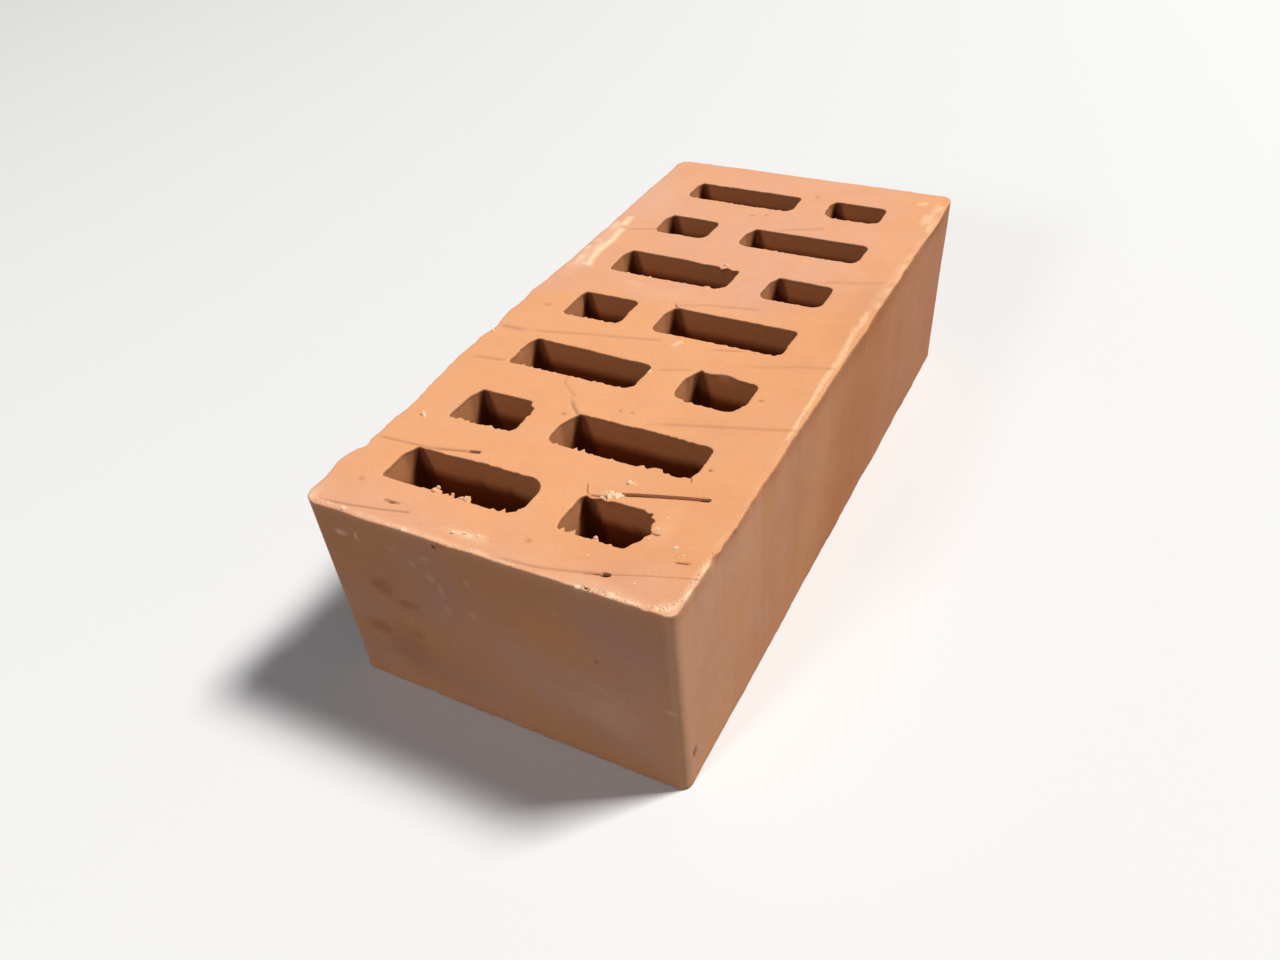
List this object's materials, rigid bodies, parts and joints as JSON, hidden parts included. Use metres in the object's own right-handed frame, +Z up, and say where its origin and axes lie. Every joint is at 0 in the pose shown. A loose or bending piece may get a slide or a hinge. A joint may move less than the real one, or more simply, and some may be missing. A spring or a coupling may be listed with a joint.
{
  "type": "perforated clay brick",
  "caption": "Fired clay facing brick with rows of long and short slots running through it from bed to bed, laid in mortar to build walls.",
  "frame": {"origin": "centre of the lower bed, on the surface that the brick lies on", "axes": "+Z up through the slots, along the extrusion; +Y along the brick's length; +X across its width"},
  "size_m": [0.115, 0.24, 0.071],
  "materials": {
    "fired_clay": "matt, bare fired clay, wire-cut beds with drag marks"
  },
  "bodies": {
    "root": {"brick": "fired_clay"}
  },
  "joints": []
}
